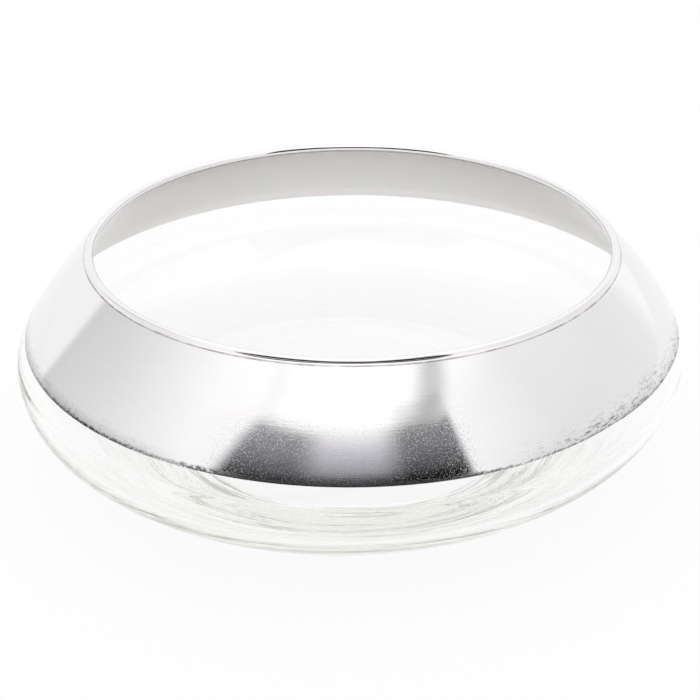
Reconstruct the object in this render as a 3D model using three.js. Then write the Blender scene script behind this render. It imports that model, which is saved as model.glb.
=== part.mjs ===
// A low, wide bowl of clear hand-blown glass. A layer of satin silver lies on the
// outside of its shoulder and is rolled over its lip as a small bead.
// Millimetres, +Z up. The origin is on the surface that the bowl stands on, below
// the middle of its widest ring.
import * as THREE from "three";

// Overall shape of the bowl
const bowlHeight = 85;
const bellyRadius = 127;
const bellyHeight = 43.2;
const mouthRadius = 96.75;
const beadRadius = 1.4;
const shoulderPitch = THREE.MathUtils.degToRad(47);

// How long the wall holds its direction at the ends of its two curves
const lipReach = 15;
const bellyReachUp = 9.6;
const bellyReachDown = 24.1;
const footReach = 22.6;

// Underside: a flat ring to stand on, round a slightly raised middle
const footRadius = 74;
const footPitch = THREE.MathUtils.degToRad(14.3);
const footRise = 0.4;
const ringOuterRadius = 71;
const ringInnerRadius = 64;
const kickRadius = 34;
const kickHeight = 1.2;

// Thickness of the glass
const wallThickness = 3.3;
const baseThickness = 9;
const thinning = 3;

// Silver: its thickness, its lower edge, and how far round the lip it reaches
const silverThickness = 0.35;
const silverBottomHeight = 51.9;
const beadEnd = THREE.MathUtils.degToRad(205);

// Sideways drift of the hand-blown rings, along X
const lowerDrift = -4.5;
const shoulderDrift = 1;
const mouthDrift = 0.8;

// Fineness of the mesh
const turns = 72;
const wallSteps = 9;
const shoulderSteps = 7;
const lipSteps = 6;

const point = (r, z) => new THREE.Vector2(r, z);

// A step of a given length from a point, in the direction of an angle from +r
function stepFrom(start, angle, length) {
  const step = point(Math.cos(angle), Math.sin(angle)).multiplyScalar(length);
  return start.clone().add(step);
}

// Sideways place of the ring at height z: the lower wall leans out and comes
// back at the foot, and the shoulder bows the other way
function ringCentre(z) {
  if (z < bellyHeight) {
    const drop = 1 - z / bellyHeight;
    return lowerDrift * drop * (1 - drop ** 6);
  }
  const climb = (z - bellyHeight) / (bowlHeight - bellyHeight);
  return mouthDrift * climb + shoulderDrift * 4 * climb * (1 - climb);
}

// Outer wall: one curve from the foot to the belly, one from there to the lip
const lipRound = beadRadius - silverThickness;
const lipCentre = point(mouthRadius + beadRadius, bowlHeight - beadRadius);
const lipNormal = Math.PI / 2 - shoulderPitch;
const lipStart = stepFrom(lipCentre, lipNormal, lipRound);
const foot = point(footRadius, footRise);
const belly = point(bellyRadius, bellyHeight);

const lowerWall = new THREE.CubicBezierCurve(
  foot,
  stepFrom(foot, footPitch, footReach),
  stepFrom(belly, -Math.PI / 2, bellyReachDown),
  belly,
);
const shoulder = new THREE.CubicBezierCurve(
  belly,
  stepFrom(belly, Math.PI / 2, bellyReachUp),
  stepFrom(lipStart, -shoulderPitch, lipReach),
  lipStart,
);

// Underside between its raised middle and the ring, level at both ends
const kickEase = (ringInnerRadius - kickRadius) * 0.45;
const kick = new THREE.CubicBezierCurve(
  point(kickRadius, kickHeight),
  point(kickRadius + kickEase, kickHeight),
  point(ringInnerRadius - kickEase, 0),
  point(ringInnerRadius, 0),
);

// Where the rising shoulder curve passes a height, as its parameter
function shoulderAt(height) {
  let low = 0;
  let high = 1;
  while (high - low > 1e-9) {
    const middle = (low + high) / 2;
    if (shoulder.getPoint(middle).y < height) low = middle;
    else high = middle;
  }
  return low;
}

const silverFrom = shoulderAt(silverBottomHeight);

// Points of a curve between two parameters, both ends included
function sample(curve, from, to, steps) {
  return Array.from({ length: steps + 1 }, (_, i) =>
    curve.getPoint(from + ((to - from) * i) / steps),
  );
}

// Points round the lip at a radius, from its outside to where the silver ends
function roundLip(radius) {
  return Array.from({ length: lipSteps }, (_, i) => {
    const turn = ((beadEnd - lipNormal) * (i + 1)) / lipSteps;
    return stepFrom(lipCentre, lipNormal + turn, radius);
  });
}

// The point at a depth below the outside, square to the wall there
function inside(curve, t, depth) {
  const along = curve.getTangent(t);
  return curve.getPoint(t).add(point(-along.y, along.x).multiplyScalar(depth));
}

// Glass thickness: the heavy base thins into the wall, the wall into the lip
const lowerDepth = (t) =>
  wallThickness + (baseThickness - wallThickness) * (1 - t) ** thinning;
const shoulderDepth = (t) =>
  wallThickness + (2 * lipRound - wallThickness) * t ** 4;

// The stretch of the outside that carries the silver, shared by glass and silver
function silverSeat() {
  return [...sample(shoulder, silverFrom, 1, shoulderSteps), ...roundLip(lipRound)];
}

// Profile of the glass, from the middle of the underside round to the inside
function glassProfile() {
  const downInside = (curve, depth) =>
    Array.from({ length: wallSteps + 1 }, (_, i) => {
      const t = 1 - i / wallSteps;
      return inside(curve, t, depth(t));
    });
  const inner = [
    ...downInside(shoulder, shoulderDepth),
    ...downInside(lowerWall, lowerDepth).slice(1),
  ];
  return [
    point(0, kickHeight),
    ...sample(kick, 0, 1, 4),
    point(ringOuterRadius, 0),
    point((ringOuterRadius + footRadius) / 2, footRise / 4),
    ...sample(lowerWall, 0, 1, wallSteps),
    ...sample(shoulder, 0, silverFrom, 3).slice(1, -1),
    ...silverSeat(),
    ...inner,
    point(0, inner.at(-1).y),
  ];
}

// Closed profile of the silver: up its seat on the glass, then down its face
function silverProfile() {
  const seat = silverSeat();
  const face = [
    ...Array.from({ length: shoulderSteps + 1 }, (_, i) => {
      const t = silverFrom + ((1 - silverFrom) * i) / shoulderSteps;
      return inside(shoulder, t, -silverThickness);
    }),
    ...roundLip(beadRadius),
  ];
  return [...seat, ...face.reverse(), seat[0]];
}

// Twice the area that a profile runs round, positive when anticlockwise
function windingOf(profile) {
  return profile.reduce((sum, p, i) => {
    const next = profile[(i + 1) % profile.length];
    return sum + p.cross(next);
  }, 0);
}

// A profile turned about Z, its rings moved to their centres, faces outwards.
// Both pieces are turned in the same sense, so their shared faces are the same.
function turned(profile) {
  const geometry = new THREE.LatheGeometry(profile, turns);
  geometry.rotateX(Math.PI / 2);
  if (windingOf(profile) < 0) {
    const corners = geometry.index.array;
    for (let i = 0; i < corners.length; i += 3) {
      [corners[i + 1], corners[i + 2]] = [corners[i + 2], corners[i + 1]];
    }
  }
  const places = geometry.attributes.position;
  for (let i = 0; i < places.count; i++) {
    places.setX(i, places.getX(i) + ringCentre(places.getZ(i)));
  }
  geometry.computeVertexNormals();
  return geometry;
}

function piece(name, profile, finish) {
  const material = new THREE.MeshStandardMaterial(finish);
  const mesh = new THREE.Mesh(turned(profile), material);
  mesh.name = name;
  return mesh;
}

const clearGlass = {
  color: 0xe6ece6,
  roughness: 0.03,
  metalness: 0,
  transparent: true,
  opacity: 0.35,
};
const satinSilver = { color: 0xd3d3d4, roughness: 0.28, metalness: 1 };

const bowl = new THREE.Group();
bowl.add(
  piece("glass_bowl", glassProfile(), clearGlass),
  piece("silver_band", silverProfile(), satinSilver),
);

export default bowl;
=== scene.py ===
import math

import bpy
from mathutils import Matrix, Vector


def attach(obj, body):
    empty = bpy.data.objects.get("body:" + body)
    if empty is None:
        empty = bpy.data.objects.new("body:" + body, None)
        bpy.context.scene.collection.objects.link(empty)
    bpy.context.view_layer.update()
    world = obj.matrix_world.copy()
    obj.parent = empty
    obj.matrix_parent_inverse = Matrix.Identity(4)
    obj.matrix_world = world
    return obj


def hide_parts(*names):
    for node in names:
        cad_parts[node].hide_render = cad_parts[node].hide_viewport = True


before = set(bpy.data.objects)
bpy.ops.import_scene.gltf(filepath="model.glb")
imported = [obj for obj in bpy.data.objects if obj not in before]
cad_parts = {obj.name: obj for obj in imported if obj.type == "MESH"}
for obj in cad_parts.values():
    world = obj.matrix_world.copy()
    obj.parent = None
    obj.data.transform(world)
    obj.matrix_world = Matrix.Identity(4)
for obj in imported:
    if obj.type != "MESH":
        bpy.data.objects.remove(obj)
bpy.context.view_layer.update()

# Units
MM = 0.001
MM_PER_METRE = 1000
DEGREES_PER_RADIAN = 180 / math.pi

# Camera of the photograph, a square frame of 1720 px focal length over 700 px
FRAME_SIDE = 700
FOCAL_PIXELS = 1720
SENSOR_WIDTH = 36
CAMERA_PLACE = Vector((0, -593.9, 345.4)) * MM
CAMERA_DIP = math.radians(27.44)
CAMERA_ROLL = math.radians(-0.18)

# Shape of the bowl, in millimetres, as in the CAD
BOWL_HEIGHT = 85
BELLY_RADIUS = 127
BELLY_HEIGHT = 43.2
MOUTH_RADIUS = 96.75
BEAD_RADIUS = 1.4
SHOULDER_PITCH = math.radians(47)
LIP_REACH = 15
BELLY_REACH_UP = 9.6
BELLY_REACH_DOWN = 24.1
FOOT_REACH = 22.6
FOOT_RADIUS = 74
FOOT_PITCH = math.radians(14.3)
FOOT_RISE = 0.4
RING_OUTER_RADIUS = 71
RING_INNER_RADIUS = 64
KICK_RADIUS = 34
KICK_HEIGHT = 1.2
WALL_THICKNESS = 3.3
BASE_THICKNESS = 9
THINNING = 3

# How far the curves of the underside hold their direction at their ends, as a share of their width
UNDERSIDE_EASE = 0.45

# Sideways drift of the hand-blown rings
LOWER_DRIFT = -4.5
SHOULDER_DRIFT = 1
MOUTH_DRIFT = 0.8

# Silver: its thickness on the shoulder and on the lip, its grip on the glass, and the share of
# its thickness that is lost towards its lower edge
BAND_THICKNESS = 0.28
LIP_SILVER = 0.35
BAND_GRIP = 0.06
EDGE_THINNING = 0.75

# The neck between the shoulder's silver and the bead: its length, its thickness as a share of the
# shoulder's, and the width of the step down to it as a share of the shoulder's curve
NECK_LENGTH = 1.85
NECK_SHARE = 0.4
NECK_STEP = 0.004

# Where the bead starts and ends, from the outward direction
BEAD_START = math.radians(5)
BEAD_END = math.radians(205)

# To tell the two sides of the silver apart: within a distance of the lip's centre they are told
# by radius, and elsewhere by a direction off the shoulder that goes up this much per mm outwards
LIP_ZONE = 3
SHOULDER_UPWARD = 0.8

# Lower edge of the silver, two cuts: the height of each at the axis, and its rise per mm to
# the right and to the back. The second takes a little more off to the right of the front.
EDGE_CUTS = (
    (52.2, 0.002, 0.003),
    (45.63, 0.0497, -0.0329),
)
EDGE_SPARE = 2

# Grooves of the shaping tool on the inside: radius, half width and depth
TOOL_GROOVES = (
    (62.8, 0.7, 0.05),
    (67.6, 0.9, 0.06),
    (70.6, 0.8, 0.05),
    (74, 1, 0.07),
    (77.2, 0.8, 0.05),
    (83, 1.2, 0.04),
    (91, 1.1, 0.07),
    (98.5, 1.4, 0.05),
    (105.5, 1.1, 0.06),
    (112, 1.4, 0.05),
)

# Bands of fine tool marks on the floor of the inside, a little oval: the mean radius of each,
# how far it swells to the front and the back, its half width and the strength of its marks
# The marks are bumps, and also dark lines painted into the glass's colour, standing in for dark
# surroundings seen through the glass.
FLOOR_MARKS_AND_PAINTED_DARK = (
    (72.5, 5, 5, 1),
    (87, 7, 2.5, 0.8),
)

# Fineness of the meshes: rings in each stretch of a profile. The inside of the wall is finer
# below the place on its curve where the grooves start, and the floor is fine down to a radius.
AROUND = 192
POLE_RADIUS = 2
MIDDLE_RING_RADIUS = 20.4
KICK_STEPS = 12
FOOT_STEPS = 5
WALL_STEPS = 28
SHOULDER_STEPS = 30
LIP_STEPS = 14
SMOOTH_STEPS = 10
GROOVED_STEPS = 90
GROOVES_FROM = 0.6
FLOOR_STEPS = 22
FLOOR_RADIUS = 58
BAND_STEPS = 34
BEAD_STEPS = 30
BEAD_BACK_STEPS = 12
MERGE_DISTANCE = 0.002 * MM
SHARP_EDGE = math.radians(40)

# Colours
WHITE = (1, 1, 1, 1)
GLASS_TINT = (0.6, 0.67, 0.47, 1)
# Painted dark for lines in the glass, standing in for dark surroundings seen through it
PAINTED_DARK_GLASS = (0.4, 0.37, 0.31, 1)
DULL_SILVER = (0.84, 0.82, 0.83, 1)
BRIGHT_SILVER = (0.9, 0.89, 0.89, 1)
YELLOWED_SILVER = (0.96, 0.955, 0.94, 1)
PINKISH_SILVER = (0.98, 0.94, 0.935, 1)
NECK_BROWN = (0.3, 0.26, 0.25, 1)
# Dark for tarnish and wear, and also for the painted shade above the silver's lower edge
TARNISH_AND_PAINTED_SHADE = (0.05, 0.048, 0.055, 1)
BLUISH_DARK = (0.99, 0.98, 1.06, 1)

# Light: the level of the tent, what its brightest part adds to that, how much of the floor's
# white stays in the shadow, and the floor's side in metres
TENT_LEVEL = 1.2
GLARE = 0.15
PAPER_GLOW = 0.92
FLOOR_SIDE = 24

# Light is carried along inside the thick glass, so it needs many bounces
MOST_BOUNCES = 80
GLASS_BOUNCES = 64


# Curves in the plane of radius and height

def toward(start, angle, length):
    """The point a length away from start, at an angle from the outward direction."""
    return Vector((start.x + length * math.cos(angle), start.y + length * math.sin(angle)))


def bezier(ends, t):
    """Point and outward normal of a cubic curve that climbs up the outside of the wall."""
    a, b, c, d = ends
    s = 1 - t
    place = a * s**3 + b * 3 * s * s * t + c * 3 * s * t * t + d * t**3
    along = (b - a) * 3 * s * s + (c - b) * 6 * s * t + (d - c) * 3 * t * t
    return place, Vector((along.y, -along.x)).normalized()


def under(curve, t, depth):
    """The point at a depth below the outside of the wall."""
    place, normal = bezier(curve, t)
    return place - normal * depth


def ring_centre(height):
    """Sideways place of the ring at a height: the lower wall leans out and comes back."""
    if height < BELLY_HEIGHT:
        drop = 1 - height / BELLY_HEIGHT
        return LOWER_DRIFT * drop * (1 - drop**6)
    climb = (height - BELLY_HEIGHT) / (BOWL_HEIGHT - BELLY_HEIGHT)
    return MOUTH_DRIFT * climb + SHOULDER_DRIFT * 4 * climb * (1 - climb)


LIP_ROUND = BEAD_RADIUS - LIP_SILVER
LIP_CENTRE = Vector((MOUTH_RADIUS + BEAD_RADIUS, BOWL_HEIGHT - BEAD_RADIUS))
LIP_NORMAL = math.pi / 2 - SHOULDER_PITCH
LIP_START = toward(LIP_CENTRE, LIP_NORMAL, LIP_ROUND)
FOOT = Vector((FOOT_RADIUS, FOOT_RISE))
BELLY = Vector((BELLY_RADIUS, BELLY_HEIGHT))
LOWER_WALL = (
    FOOT,
    toward(FOOT, FOOT_PITCH, FOOT_REACH),
    toward(BELLY, -math.pi / 2, BELLY_REACH_DOWN),
    BELLY,
)
SHOULDER = (
    BELLY,
    toward(BELLY, math.pi / 2, BELLY_REACH_UP),
    toward(LIP_START, -SHOULDER_PITCH, LIP_REACH),
    LIP_START,
)
BAND_TOP_HEIGHT = LIP_START.y - NECK_LENGTH * math.sin(SHOULDER_PITCH)

# Underside: a raised middle, the ring it stands on, and a rounded start of the wall
KICK_TOP = Vector((KICK_RADIUS, KICK_HEIGHT))
RING_INNER = Vector((RING_INNER_RADIUS, 0))
RING_OUTER = Vector((RING_OUTER_RADIUS, 0))
KICK_EASE = (RING_INNER_RADIUS - KICK_RADIUS) * UNDERSIDE_EASE
FOOT_EASE = (FOOT_RADIUS - RING_OUTER_RADIUS) * UNDERSIDE_EASE
KICK = (
    KICK_TOP,
    KICK_TOP + Vector((KICK_EASE, 0)),
    RING_INNER - Vector((KICK_EASE, 0)),
    RING_INNER,
)
FOOT_ROUND = (
    RING_OUTER,
    RING_OUTER + Vector((FOOT_EASE, 0)),
    toward(FOOT, FOOT_PITCH, -FOOT_EASE),
    FOOT,
)


def shoulder_at(height):
    """Where the rising shoulder passes a height, as the curve's parameter."""
    low, high = 0.0, 1.0
    while high - low > 1e-9:
        middle = (low + high) / 2
        if bezier(SHOULDER, middle)[0].y < height:
            low = middle
        else:
            high = middle
    return low


def steps(start, end, count):
    """Evenly spaced numbers from start to end, both included."""
    return [start + (end - start) * i / count for i in range(count + 1)]


def lower_depth(t):
    """Thickness of the glass along the lower wall: the heavy base thins into the wall."""
    return WALL_THICKNESS + (BASE_THICKNESS - WALL_THICKNESS) * (1 - t) ** THINNING


def shoulder_depth(t):
    """Thickness of the glass along the shoulder: the wall thins into the lip."""
    return WALL_THICKNESS + (2 * LIP_ROUND - WALL_THICKNESS) * t**4


def grooved(place):
    """A point of the inside, lowered where a groove of the shaping tool passes."""
    depth = sum(
        deep * math.exp(-(((place.x - middle) / half) ** 2))
        for middle, half, deep in TOOL_GROOVES
    )
    return place - Vector((0, depth))


# Modelling by hand: a ring raised step by step along a profile

def begin(name, radius, height, cap):
    """A round primitive at its place, in edit mode, with its rim selected."""
    bpy.ops.object.select_all(action="DESELECT")
    bpy.ops.mesh.primitive_circle_add(
        vertices=AROUND,
        radius=radius * MM,
        fill_type="TRIFAN" if cap else "NOTHING",
        location=(ring_centre(height) * MM, 0, height * MM),
    )
    piece = bpy.context.object
    piece.name = name
    piece.data.name = name
    bpy.ops.object.transform_apply(location=True, rotation=True, scale=True)
    bpy.ops.object.mode_set(mode="EDIT")
    bpy.ops.mesh.select_mode(type="EDGE")
    bpy.ops.mesh.select_all(action="SELECT")
    if cap:
        bpy.ops.mesh.region_to_loop()
    return piece


def raise_ring(here, there):
    """Extrudes the selected ring from one profile point to the next."""
    shift = ring_centre(there.y) - ring_centre(here.y)
    lift = there.y - here.y
    bpy.ops.mesh.extrude_region_move(
        TRANSFORM_OT_translate={"value": (shift * MM, 0, lift * MM)}
    )
    grow = there.x / here.x
    bpy.ops.transform.resize(
        value=(grow, grow, 1),
        center_override=(ring_centre(there.y) * MM, 0, there.y * MM),
    )


def raise_rings(profile):
    for here, there in zip(profile, profile[1:]):
        raise_ring(here, there)


def close_seams():
    bpy.ops.mesh.select_all(action="SELECT")
    bpy.ops.mesh.remove_doubles(threshold=MERGE_DISTANCE)


def finish_piece():
    """Closes seams, turns all faces outwards and shades the piece smooth."""
    close_seams()
    bpy.ops.mesh.normals_make_consistent(inside=False)
    bpy.ops.object.mode_set(mode="OBJECT")
    bpy.ops.object.shade_smooth()


# The blown glass

def inner_wall(start, end, count):
    """Points of the inside of the lower wall, without the first."""
    return [under(LOWER_WALL, t, lower_depth(t)) for t in steps(start, end, count)[1:]]


def glass_profile():
    """From the middle of the underside, round the outside and down the inside."""
    profile = [Vector((radius, KICK_HEIGHT)) for radius in (POLE_RADIUS, MIDDLE_RING_RADIUS)]
    profile += [bezier(KICK, t)[0] for t in steps(0, 1, KICK_STEPS)]
    profile += [bezier(FOOT_ROUND, t)[0] for t in steps(0, 1, FOOT_STEPS)[:-1]]
    profile += [bezier(LOWER_WALL, t)[0] for t in steps(0, 1, WALL_STEPS)]
    profile += [bezier(SHOULDER, t)[0] for t in steps(0, 1, SHOULDER_STEPS)[1:]]
    turn = steps(LIP_NORMAL, LIP_NORMAL + math.pi, LIP_STEPS)
    profile += [toward(LIP_CENTRE, angle, LIP_ROUND) for angle in turn[1:-1]]
    profile += [under(SHOULDER, t, shoulder_depth(t)) for t in steps(1, 0, SHOULDER_STEPS)]
    inside = inner_wall(1, GROOVES_FROM, SMOOTH_STEPS)
    inside += inner_wall(GROOVES_FROM, 0, GROOVED_STEPS)
    floor_edge = inside[-1]
    across = steps(floor_edge.x, FLOOR_RADIUS, FLOOR_STEPS)
    inside += [Vector((radius, floor_edge.y)) for radius in across[1:]]
    profile += [grooved(place) for place in inside]
    profile.append(Vector((POLE_RADIUS, floor_edge.y)))
    return profile


def make_glass():
    profile = glass_profile()
    glass = begin("blown_glass", profile[0].x, profile[0].y, cap=True)
    raise_rings(profile)
    bpy.ops.mesh.extrude_region_move()
    bpy.ops.mesh.merge(type="CENTER")
    finish_piece()
    return glass


# The silver laid on the shoulder and rolled over the lip

def silver_profile():
    """Closed section: up the side that lies on the glass, then down the polished face."""
    low = shoulder_at(EDGE_CUTS[0][0] - EDGE_SPARE)
    high = shoulder_at(BAND_TOP_HEIGHT)
    back = [under(SHOULDER, t, BAND_GRIP) for t in steps(low, 1, BAND_STEPS)]
    over = steps(LIP_NORMAL, BEAD_END, BEAD_BACK_STEPS)
    back += [toward(LIP_CENTRE, angle, LIP_ROUND - BAND_GRIP) for angle in over[1:]]
    round_bead = steps(BEAD_END, BEAD_START, BEAD_STEPS)
    bead = [toward(LIP_CENTRE, angle, BEAD_RADIUS) for angle in round_bead]
    neck = under(SHOULDER, high + NECK_STEP, -NECK_SHARE * BAND_THICKNESS)
    face = []
    for t in steps(high, low, BAND_STEPS):
        lost = EDGE_THINNING * ((high - t) / (high - low)) ** 2
        face.append(under(SHOULDER, t, -BAND_THICKNESS * (1 - lost)))
    return back + bead + [neck] + face


def trim_lower_edge():
    """Cuts the silver off along slightly tilted planes and closes the cut."""
    for height, to_right, to_back in EDGE_CUTS:
        bpy.ops.mesh.select_all(action="SELECT")
        bpy.ops.mesh.bisect(
            plane_co=(0, 0, height * MM),
            plane_no=(-to_right, -to_back, 1),
            clear_inner=True,
        )
    bpy.ops.mesh.select_all(action="DESELECT")
    bpy.ops.mesh.select_non_manifold()
    bpy.ops.mesh.bridge_edge_loops()


def make_silver():
    profile = silver_profile()
    silver = begin("silver_layer", profile[0].x, profile[0].y, cap=False)
    raise_rings(profile + profile[:1])
    close_seams()
    trim_lower_edge()
    finish_piece()
    bpy.ops.object.shade_smooth_by_angle(angle=SHARP_EDGE)
    return silver


def lies_on_glass(face):
    """Whether a face of the silver is on its hidden side."""
    centre = face.center / MM
    radius = math.hypot(centre.x - ring_centre(centre.z), centre.y)
    from_lip = (Vector((radius, centre.z)) - LIP_CENTRE).length
    if from_lip < LIP_ZONE:
        return from_lip < LIP_ROUND + LIP_SILVER / 2 and centre.z > LIP_START.y
    outward = Vector((centre.x, centre.y, 0)).normalized()
    off_shoulder = outward + Vector((0, 0, SHOULDER_UPWARD))
    return face.normal.dot(off_shoulder) < 0


def coat_back(silver):
    """Gives the side that lies on the glass the second material."""
    for face in silver.data.polygons:
        if lies_on_glass(face):
            face.material_index = 1


# Shader building

def new_material(name):
    material = bpy.data.materials.new(name)
    material.use_nodes = True
    tree = material.node_tree
    return material, tree, tree.nodes["Principled BSDF"]


def put(tree, kind, **settings):
    """A new node of a kind with the given settings."""
    node = tree.nodes.new(kind)
    for name, value in settings.items():
        setattr(node, name, value)
    return node


def feed(tree, socket, value):
    """Links a socket to another node's output, or gives it a plain value."""
    if isinstance(value, bpy.types.NodeSocket):
        tree.links.new(value, socket)
    else:
        socket.default_value = value


def calc(tree, operation, *values):
    node = put(tree, "ShaderNodeMath", operation=operation)
    for socket, value in zip(node.inputs, values):
        feed(tree, socket, value)
    return node.outputs[0]


def product(tree, first, *others):
    """All the given numbers multiplied."""
    for other in others:
        first = calc(tree, "MULTIPLY", first, other)
    return first


def what_is_left(tree, share):
    """What a share leaves of 1."""
    return calc(tree, "SUBTRACT", 1, share)


def rise(tree, value, low, high):
    """Climbs smoothly from 0 at low to 1 at high, or falls when low is the larger."""
    node = put(tree, "ShaderNodeMapRange", interpolation_type="SMOOTHSTEP")
    feed(tree, node.inputs["Value"], value)
    feed(tree, node.inputs["From Min"], low)
    feed(tree, node.inputs["From Max"], high)
    return node.outputs["Result"]


def between(tree, value, low, high, soft):
    """1 from low to high and 0 outside, with soft ends."""
    climb = rise(tree, value, low - soft, low + soft)
    fall = rise(tree, value, high + soft, high - soft)
    return product(tree, climb, fall)


def graph(tree, value, points):
    """A number read off a graph that is given by its corner points."""
    low, high = points[0][0], points[-1][0]
    reach = put(tree, "ShaderNodeMapRange")
    feed(tree, reach.inputs["Value"], value)
    reach.inputs["From Min"].default_value = low
    reach.inputs["From Max"].default_value = high
    ramp = put(tree, "ShaderNodeValToRGB")
    stops = ramp.color_ramp.elements
    for index, (x, y) in enumerate(points):
        at = (x - low) / (high - low)
        stop = stops[index] if index < 2 else stops.new(at)
        stop.position = at
        stop.color = (y, y, y, 1)
    tree.links.new(reach.outputs["Result"], ramp.inputs["Fac"])
    return ramp.outputs["Color"]


def blend_numbers(tree, share, low, high):
    """A number that goes from low to high with a share. The node's sockets go by number."""
    node = put(tree, "ShaderNodeMix", data_type="FLOAT")
    feed(tree, node.inputs[0], share)
    feed(tree, node.inputs[2], low)
    feed(tree, node.inputs[3], high)
    return node.outputs[0]


def blend_colours(tree, share, low, high):
    """A colour that goes from low to high with a share. The node's sockets go by number."""
    node = put(tree, "ShaderNodeMix", data_type="RGBA")
    feed(tree, node.inputs[0], share)
    feed(tree, node.inputs[6], low)
    feed(tree, node.inputs[7], high)
    return node.outputs[2]


def split(tree, vector):
    """The three parts of a vector."""
    node = put(tree, "ShaderNodeSeparateXYZ")
    tree.links.new(vector, node.inputs[0])
    return node.outputs["X"], node.outputs["Y"], node.outputs["Z"]


def azimuth_of(tree, x, y):
    """Azimuth in degrees from the front, growing to the right."""
    turn = calc(tree, "ARCTAN2", x, calc(tree, "MULTIPLY", y, -1))
    return calc(tree, "MULTIPLY", turn, DEGREES_PER_RADIAN)


def piece_point(tree):
    """The point on the piece, in metres from its origin."""
    return put(tree, "ShaderNodeTexCoord").outputs["Object"]


def azimuth_and_height(tree, where):
    """Azimuth in degrees from the front and height in mm of a point on the piece."""
    x, y, z = split(tree, where)
    return azimuth_of(tree, x, y), calc(tree, "MULTIPLY", z, MM_PER_METRE)


def flat_place(tree, where):
    """The point with its height taken away."""
    node = put(tree, "ShaderNodeVectorMath", operation="MULTIPLY")
    node.inputs[1].default_value = (1, 1, 0)
    tree.links.new(where, node.inputs[0])
    return node.outputs["Vector"]


def outward_direction(tree, where):
    node = put(tree, "ShaderNodeVectorMath", operation="NORMALIZE")
    tree.links.new(flat_place(tree, where), node.inputs[0])
    return node.outputs["Vector"]


def distance_from_axis(tree, where):
    """Distance of a point from the axis, in mm."""
    node = put(tree, "ShaderNodeVectorMath", operation="LENGTH")
    tree.links.new(flat_place(tree, where), node.inputs[0])
    return calc(tree, "MULTIPLY", node.outputs["Value"], MM_PER_METRE)


def grains(tree, place, detail, roughness):
    """Noise with about one grain to each unit of a place."""
    node = put(tree, "ShaderNodeTexNoise")
    node.inputs["Scale"].default_value = 1
    node.inputs["Detail"].default_value = detail
    node.inputs["Roughness"].default_value = roughness
    tree.links.new(place, node.inputs["Vector"])
    return node.outputs["Fac"]


def noise(tree, where, around, up, detail=2, roughness=0.5):
    """Noise whose grains are about as long around and up as the given millimetres."""
    scale = put(tree, "ShaderNodeMapping")
    scale.inputs["Scale"].default_value = (
        MM_PER_METRE / around,
        MM_PER_METRE / around,
        MM_PER_METRE / up,
    )
    tree.links.new(where, scale.inputs["Vector"])
    return grains(tree, scale.outputs["Vector"], detail, roughness)


def streak_noise(tree, outward, across, turns, detail=2, roughness=0.5):
    """Noise drawn out round the axis, with a grain to each unit of across."""
    wide = put(tree, "ShaderNodeVectorMath", operation="SCALE")
    wide.inputs["Scale"].default_value = turns
    tree.links.new(outward, wide.inputs[0])
    x, y, _ = split(tree, wide.outputs["Vector"])
    place = put(tree, "ShaderNodeCombineXYZ")
    tree.links.new(x, place.inputs["X"])
    tree.links.new(y, place.inputs["Y"])
    tree.links.new(across, place.inputs["Z"])
    return grains(tree, place.outputs["Vector"], detail, roughness)


def emboss(tree, shader, pattern, depth):
    """Raises the surface by a pattern, to a depth in mm."""
    bump = put(tree, "ShaderNodeBump")
    bump.inputs["Strength"].default_value = 1
    bump.inputs["Distance"].default_value = depth * MM
    tree.links.new(pattern, bump.inputs["Height"])
    tree.links.new(bump.outputs["Normal"], shader.inputs["Normal"])


# The glass

def floor_cuts_and_painted_dark(tree, where, outward, radius):
    """Two bands of sharp tool marks on the floor of the inside, that fade to the back: bumps, and
    dark lines painted into the glass's colour that stand in for dark surroundings seen through it.
    """
    azimuth, height = azimuth_and_height(tree, where)
    reach = graph(tree, azimuth, [
        (-180, 0.04), (-130, 0.08), (-62, 1), (62, 1), (130, 0.08), (180, 0.04),
    ])
    on_floor = product(tree, between(tree, height, 7, 15, 1), reach)
    oval = calc(tree, "COSINE", calc(tree, "MULTIPLY", azimuth, 2 / DEGREES_PER_RADIAN))
    cuts = 0
    for mean, swell, half, deep in FLOOR_MARKS_AND_PAINTED_DARK:
        line = calc(tree, "MULTIPLY_ADD", oval, swell, mean)
        from_line = calc(tree, "SUBTRACT", radius, line)
        across = calc(tree, "DIVIDE", from_line, 1.3)
        lines = streak_noise(tree, outward, across, turns=2.2, detail=3, roughness=0.6)
        cut = rise(tree, lines, 0.46, 0.6)
        close = rise(tree, calc(tree, "ABSOLUTE", from_line), half, half * 0.5)
        share = product(tree, close, on_floor, deep)
        cuts = calc(tree, "ADD", cuts, product(tree, cut, share))
    return calc(tree, "MINIMUM", cuts, 1)


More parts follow.
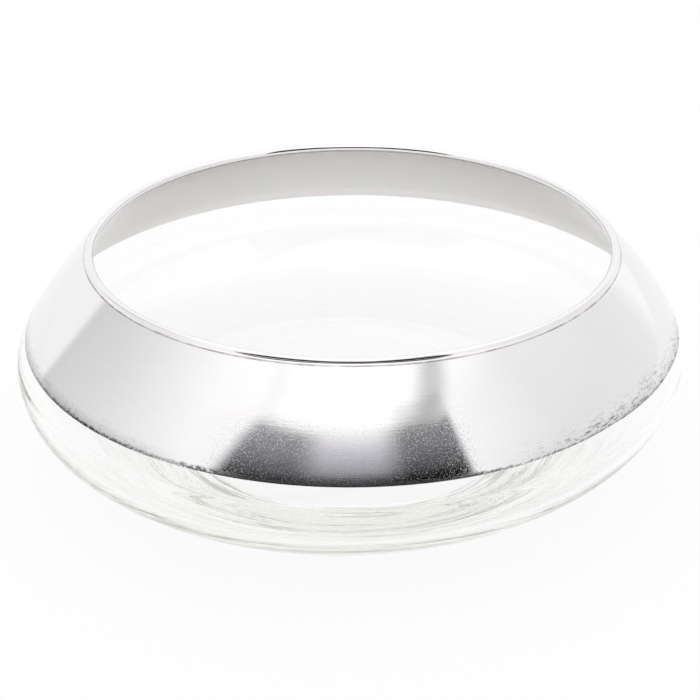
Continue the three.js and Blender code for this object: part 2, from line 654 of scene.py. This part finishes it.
def clear_glass():
    """Clear glass with a green-grey tint in its thickness, marks of its making, and painted dark
    lines on the floor of the inside.
    """
    material, tree, shader = new_material("clear_glass")
    shader.inputs["Roughness"].default_value = 0
    shader.inputs["IOR"].default_value = 1.5
    shader.inputs["Transmission Weight"].default_value = 1
    tint = put(tree, "ShaderNodeVolumeAbsorption")
    tint.inputs["Color"].default_value = GLASS_TINT
    tint.inputs["Density"].default_value = 2
    tree.links.new(tint.outputs["Volume"], tree.nodes["Material Output"].inputs["Volume"])

    # Fine rings in the surface of the lower wall and the base, from turning the soft glass
    where = piece_point(tree)
    height = azimuth_and_height(tree, where)[1]
    outward = outward_direction(tree, where)
    radius = distance_from_axis(tree, where)
    rings = streak_noise(tree, outward, calc(tree, "DIVIDE", radius, 1.6), turns=3)
    marks = product(tree, rings, rise(tree, height, 44, 36), 0.14)

    cuts = floor_cuts_and_painted_dark(tree, where, outward, radius)
    # Painted dark: the marks darken the glass's colour, standing in for dark surroundings seen
    # through it
    glass_colour_with_painted_dark = blend_colours(tree, cuts, WHITE, PAINTED_DARK_GLASS)
    tree.links.new(glass_colour_with_painted_dark, shader.inputs["Base Color"])
    emboss(tree, shader, calc(tree, "ADD", marks, product(tree, cuts, 2)), 0.15)
    return material


# The outside of the silver

def height_over_edge(tree, where):
    """Height in mm above the silver's lower edge."""
    x, y, z = split(tree, where)
    edges = []
    for height, to_right, to_back in EDGE_CUTS:
        side = calc(tree, "MULTIPLY", x, MM_PER_METRE * to_right)
        depth = calc(tree, "MULTIPLY", y, MM_PER_METRE * to_back)
        edges.append(calc(tree, "ADD", calc(tree, "ADD", side, depth), height))
    edge = calc(tree, "MAXIMUM", *edges)
    return calc(tree, "SUBTRACT", calc(tree, "MULTIPLY", z, MM_PER_METRE), edge)


def edge_line(tree, where, outward, azimuth, above):
    """The dark ragged line of tarnish along the lower edge."""
    across = calc(tree, "DIVIDE", above, 9)
    wavy = streak_noise(tree, outward, across, turns=34, detail=5, roughness=0.75)
    ragged = noise(tree, where, around=1, up=0.8, detail=3, roughness=0.7)
    depth = graph(tree, azimuth, [
        (-100, 0), (-84, 0.1), (-70, 0.28), (-61, 0.48), (-50, 0.72), (-36, 0.66),
        (-29, 0.45), (-25, 0.9), (0, 0.9), (21, 0.85), (26, 0.5), (38, 0.65), (46, 0.3),
        (57, 0.6), (66, 0.3), (78, 0.5), (90, 0.2), (110, 0),
    ])
    width = graph(tree, azimuth, [
        (-100, 0.5), (-70, 0.8), (-60, 1.1), (-33, 1.1), (-26, 1.5), (0, 1.5), (20, 1.1),
        (27, 0.6), (110, 0.6),
    ])
    sway = product(tree, calc(tree, "SUBTRACT", wavy, 0.42), 2.4)
    from_line = calc(tree, "SUBTRACT", above, calc(tree, "MAXIMUM", sway, 0))
    spread = calc(tree, "DIVIDE", from_line, width)
    solid = product(tree, rise(tree, spread, 1, 0.25), depth)
    return product(tree, solid, rise(tree, ragged, 0.3, 0.56))


def edge_shade(tree, azimuth, above):
    """The painted soft shade above the lower edge, which darkens the silver's colour."""
    depth = graph(tree, azimuth, [
        (-110, 0.1), (-75, 0.34), (-50, 0.36), (-33, 0.2), (-26, 0), (22, 0), (30, 0.12),
        (60, 0.2), (80, 0.24), (110, 0.1),
    ])
    return product(tree, rise(tree, above, 4.5, 0), depth)


def edge_scratches(tree, where, outward, azimuth, above):
    """Fine scratches and pits near the lower edge, in clumps and mostly to the right."""
    worn = graph(tree, azimuth, [
        (-90, 0), (-78, 0.2), (-50, 0.3), (-34, 0.2), (-28, 0), (22, 0), (34, 0.5), (52, 1),
        (78, 1), (88, 0.7), (100, 0),
    ])
    across = calc(tree, "DIVIDE", above, 0.6)
    scratched = streak_noise(tree, outward, across, turns=30, detail=2, roughness=0.6)
    pitted = noise(tree, where, around=1.2, up=0.7, detail=2, roughness=0.7)
    marks = calc(
        tree, "MAXIMUM",
        rise(tree, scratched, 0.54, 0.64), rise(tree, pitted, 0.58, 0.66),
    )
    clumps = rise(tree, noise(tree, where, around=9, up=7, detail=2), 0.4, 0.62)
    worn = product(tree, worn, calc(tree, "MULTIPLY_ADD", clumps, 0.75, 0.4))
    near = rise(tree, above, 8, 0.5)
    return product(tree, marks, near, worn, 0.8)


def neck_darkening(tree, where, azimuth, height):
    """Patchy brown darkening in the neck below the bead, full on the front and none at the back.
    """
    in_neck = between(tree, height, BAND_TOP_HEIGHT - 0.05, BAND_TOP_HEIGHT + 0.3, 0.1)
    patchy = noise(tree, where, around=9, up=9, detail=3, roughness=0.7)
    uneven = calc(tree, "MULTIPLY_ADD", rise(tree, patchy, 0.3, 0.65), 0.5, 0.35)
    beside = graph(tree, azimuth, [
        (-110, 0), (-80, 0.6), (-60, 1), (60, 1), (80, 0.6), (110, 0),
    ])
    return product(tree, in_neck, uneven, beside)


def satin_silver():
    """The outside of the silver: brushed, speckled, worn along its edges, with painted shade above
    its lower edge.
    """
    material, tree, shader = new_material("satin_silver")
    shader.inputs["Metallic"].default_value = 1
    where = piece_point(tree)
    azimuth, height = azimuth_and_height(tree, where)
    outward = outward_direction(tree, where)
    above = height_over_edge(tree, where)
    on_bead = rise(tree, height, BAND_TOP_HEIGHT + 0.1, BAND_TOP_HEIGHT + 0.4)
    across = calc(tree, "DIVIDE", height, 0.6)
    fine = streak_noise(tree, outward, across, turns=14, detail=2, roughness=0.6)
    across = calc(tree, "DIVIDE", height, 1.1)
    broad = streak_noise(tree, outward, across, turns=7, detail=3, roughness=0.6)
    speckle = noise(tree, where, around=0.45, up=0.34, detail=2, roughness=0.7)
    clouds = noise(tree, where, around=30, up=18, detail=3)

    # Colour: cloudy silver, brown in the neck, dark where it is worn, and painted shade above the
    # lower edge
    line = edge_line(tree, where, outward, azimuth, above)
    scratches = edge_scratches(tree, where, outward, azimuth, above)
    shade = edge_shade(tree, azimuth, above)
    # The wear is mixed with the painted shade above the lower edge
    wear_and_painted_shade = calc(tree, "ADD", calc(tree, "MAXIMUM", line, scratches), shade)
    wear_and_painted_shade = calc(tree, "MINIMUM", wear_and_painted_shade, 1)
    streaks = calc(tree, "ADD", product(tree, broad, 0.6), product(tree, clouds, 0.4))
    cloudy = blend_colours(tree, streaks, DULL_SILVER, BRIGHT_SILVER)
    neck = neck_darkening(tree, where, azimuth, height)
    necked = blend_colours(tree, neck, cloudy, NECK_BROWN)
    colour = blend_colours(tree, wear_and_painted_shade, necked, TARNISH_AND_PAINTED_SHADE)
    tree.links.new(colour, shader.inputs["Base Color"])

    # Roughness: rough specks in a smooth satin, most of them low on the front
    front = between(tree, azimuth, -24, 20, 3)
    speckled_part = product(tree, rise(tree, above, 21, 14), front)
    amount = blend_numbers(tree, speckled_part, 0.2, 1)
    specks = product(tree, rise(tree, speckle, 0.51, 0.64), amount)
    satin = blend_numbers(tree, broad, 0.04, 0.07)
    speckled = blend_numbers(tree, specks, satin, 0.32)
    polished = blend_numbers(tree, on_bead, speckled, 0.04)
    tree.links.new(blend_numbers(tree, wear_and_painted_shade, polished, 0.4), shader.inputs["Roughness"])

    # Fine brushing round the shoulder, and none on the bead
    grain = calc(tree, "MULTIPLY_ADD", fine, 0.6, product(tree, speckle, 0.2))
    emboss(tree, shader, product(tree, grain, what_is_left(tree, on_bead)), 0.01)
    return material


# The side of the silver that lies on the glass

def matte_silver():
    """The first, matte layer of silver, seen from behind through the glass."""
    material, tree, shader = new_material("matte_silver")
    clouds = noise(tree, piece_point(tree), around=14, up=6, detail=3)
    patches = rise(tree, clouds, 0.35, 0.65)
    colour = blend_colours(tree, patches, YELLOWED_SILVER, PINKISH_SILVER)
    tree.links.new(colour, shader.inputs["Base Color"])
    shader.inputs["Metallic"].default_value = 1
    shader.inputs["Roughness"].default_value = 0.36
    return material


# Studio: white paper under the bowl, and white walls with an open front

def make_floor():
    """White paper that stays nearly white where it is seen, and takes a faint shadow."""
    bpy.ops.object.select_all(action="DESELECT")
    bpy.ops.mesh.primitive_plane_add(size=FLOOR_SIDE)
    floor = bpy.context.object
    floor.name = "floor"
    material, tree, shader = new_material("floor_paper")
    tree.nodes.remove(shader)
    paper = put(tree, "ShaderNodeBsdfDiffuse")
    paper.inputs["Color"].default_value = WHITE
    glow = put(tree, "ShaderNodeEmission")
    glow.inputs["Strength"].default_value = 1
    path = put(tree, "ShaderNodeLightPath")
    seen = calc(
        tree, "MAXIMUM",
        calc(tree, "MAXIMUM", path.outputs["Is Camera Ray"], path.outputs["Is Glossy Ray"]),
        path.outputs["Is Transmission Ray"],
    )
    blend = put(tree, "ShaderNodeMixShader")
    tree.links.new(product(tree, seen, PAPER_GLOW), blend.inputs[0])
    tree.links.new(paper.outputs[0], blend.inputs[1])
    tree.links.new(glow.outputs[0], blend.inputs[2])
    tree.links.new(blend.outputs[0], tree.nodes["Material Output"].inputs["Surface"])
    floor.data.materials.append(material)


def sky_direction(tree):
    """Azimuth from the front, growing to the right, and elevation, both in degrees."""
    x, y, z = split(tree, put(tree, "ShaderNodeTexCoord").outputs["Generated"])
    elevation = calc(tree, "MULTIPLY", calc(tree, "ARCSINE", z), DEGREES_PER_RADIAN)
    return azimuth_of(tree, x, y), elevation


def tent_walls(tree, azimuth, elevation):
    """The walls by azimuth, with the edge of the left one leaning, below a white ceiling."""
    lean = product(tree, rise(tree, azimuth, -70, -110), -0.16)
    leaning = calc(tree, "MULTIPLY_ADD", elevation, lean, azimuth)
    walls = graph(tree, leaning, [
        (-185, 0.91), (-123.4, 0.91), (-122.4, 0.64), (-119, 0.67), (-100, 0.74),
        (-73, 0.88), (-60, 0.95), (-48, 0.96), (0, 0.96), (40, 0.95), (48, 0.9), (60, 0.86),
        (75, 0.8), (115, 0.82), (128, 0.84), (137, 0.97), (185, 0.91),
    ])
    lower = graph(tree, elevation, [(0, 0.93), (22, 0.93), (46, 1), (90, 1)])
    ceiling = rise(tree, elevation, 44, 56)
    return blend_numbers(tree, ceiling, product(tree, walls, lower), 1)


def wall_gaps(tree, azimuth, elevation):
    """How much is dark: the gap beside the right-hand wall, and a faint one to the left."""
    climbing = product(tree, calc(tree, "SUBTRACT", elevation, 48), 1.3)
    right = between(tree, calc(tree, "SUBTRACT", azimuth, climbing), 26.5, 41, 6.5)
    left = between(tree, azimuth, -39, -33, 4)
    shade = calc(tree, "ADD", product(tree, right, 0.4), product(tree, left, 0.08))
    return product(tree, shade, rise(tree, elevation, 64, 56))


def open_front(tree, azimuth, elevation, gaps):
    """What is seen in the open front: a lighter middle between two darker squares."""
    middle = graph(tree, elevation, [
        (18, 0.01), (22, 0.025), (24, 0.035), (26, 0.06), (28, 0.12), (30, 0.24),
        (32, 0.32), (36, 0.42), (40, 0.55), (42, 0.66), (44, 0.8), (46, 0.93), (48, 1),
        (50, 1),
    ])
    slanted = calc(tree, "SUBTRACT", elevation, product(tree, azimuth, 0.035))
    slanted = calc(tree, "MULTIPLY_ADD", rise(tree, azimuth, 18, 38), 1.6, slanted)
    squares = graph(tree, slanted, [
        (18, 0.002), (22, 0.004), (24, 0.008), (26, 0.022), (28, 0.048), (30, 0.078),
        (33, 0.11), (36, 0.16), (39, 0.21), (41.6, 0.235), (43.2, 0.26), (44.2, 0.45),
        (45.4, 0.85), (46.8, 1), (50, 1),
    ])
    deeper = calc(tree, "MULTIPLY_ADD", rise(tree, azimuth, 10, 20), -0.2, 1)
    inner = between(tree, azimuth, -16, 14, 7)
    front = blend_numbers(tree, inner, product(tree, squares, deeper), middle)
    gap_above = product(tree, gaps, rise(tree, elevation, 43, 46))
    return product(tree, front, what_is_left(tree, gap_above))


def where_open(tree, azimuth, elevation):
    """1 in the open front and 0 beside and above it."""
    left_lean = graph(tree, elevation, [
        (18, 0), (24, 0.06), (32, 0.18), (38, 0.36), (42, 0.7), (46, 1),
    ])
    from_left = calc(tree, "SUBTRACT", azimuth, product(tree, left_lean, 9))
    across = product(tree, rise(tree, from_left, -50, -43), rise(tree, azimuth, 41, 38))
    return product(tree, across, rise(tree, elevation, 50, 49))


def make_world():
    """White walls and ceiling, with the dark open front that the silver mirrors."""
    world = bpy.data.worlds.new("white_tent")
    bpy.context.scene.world = world
    world.use_nodes = True
    tree = world.node_tree
    azimuth, elevation = sky_direction(tree)
    gaps = wall_gaps(tree, azimuth, elevation)
    walls = tent_walls(tree, azimuth, elevation)
    tent = product(tree, walls, what_is_left(tree, gaps))
    front = open_front(tree, azimuth, elevation, gaps)
    opening = where_open(tree, azimuth, elevation)

    # The glass shows plain walls where the silver mirrors the open front
    path = put(tree, "ShaderNodeLightPath")
    mirrored = what_is_left(tree, path.outputs["Is Transmission Ray"])
    level = blend_numbers(tree, product(tree, opening, mirrored), tent, front)

    # The brightest part of the ceiling, over the open front
    over_front = between(tree, azimuth, -18, 15, 7)
    glare = product(tree, over_front, rise(tree, elevation, 45, 49), GLARE)
    lit = product(tree, calc(tree, "ADD", level, glare), TENT_LEVEL)

    # The camera sees plain white behind the bowl, and the open front is a little blue
    seen = path.outputs["Is Camera Ray"]
    strength = blend_numbers(tree, seen, lit, 1)
    bluish = product(tree, opening, rise(tree, elevation, 45, 40), what_is_left(tree, seen))
    colour = blend_colours(tree, bluish, WHITE, BLUISH_DARK)
    background = tree.nodes["Background"]
    tree.links.new(colour, background.inputs["Color"])
    tree.links.new(strength, background.inputs["Strength"])


def make_camera():
    data = bpy.data.cameras.new("camera")
    data.sensor_width = SENSOR_WIDTH
    data.lens = SENSOR_WIDTH * FOCAL_PIXELS / FRAME_SIDE
    camera = bpy.data.objects.new("camera", data)
    turn = Matrix.Rotation(math.pi / 2 - CAMERA_DIP, 4, "X")
    roll = Matrix.Rotation(CAMERA_ROLL, 4, "Z")
    camera.matrix_world = Matrix.Translation(CAMERA_PLACE) @ turn @ roll
    bpy.context.scene.collection.objects.link(camera)
    bpy.context.scene.camera = camera


make_camera()
bpy.context.scene.view_settings.view_transform = "Standard"

glass = make_glass()
glass.data.materials.append(clear_glass())
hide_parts("glass_bowl")
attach(glass, "root")

silver = make_silver()
silver.data.materials.append(satin_silver())
silver.data.materials.append(matte_silver())
coat_back(silver)
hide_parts("silver_band")
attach(silver, "root")

make_floor()
make_world()

cycles = bpy.context.scene.cycles
cycles.max_bounces = MOST_BOUNCES
cycles.glossy_bounces = GLASS_BOUNCES
cycles.transmission_bounces = GLASS_BOUNCES
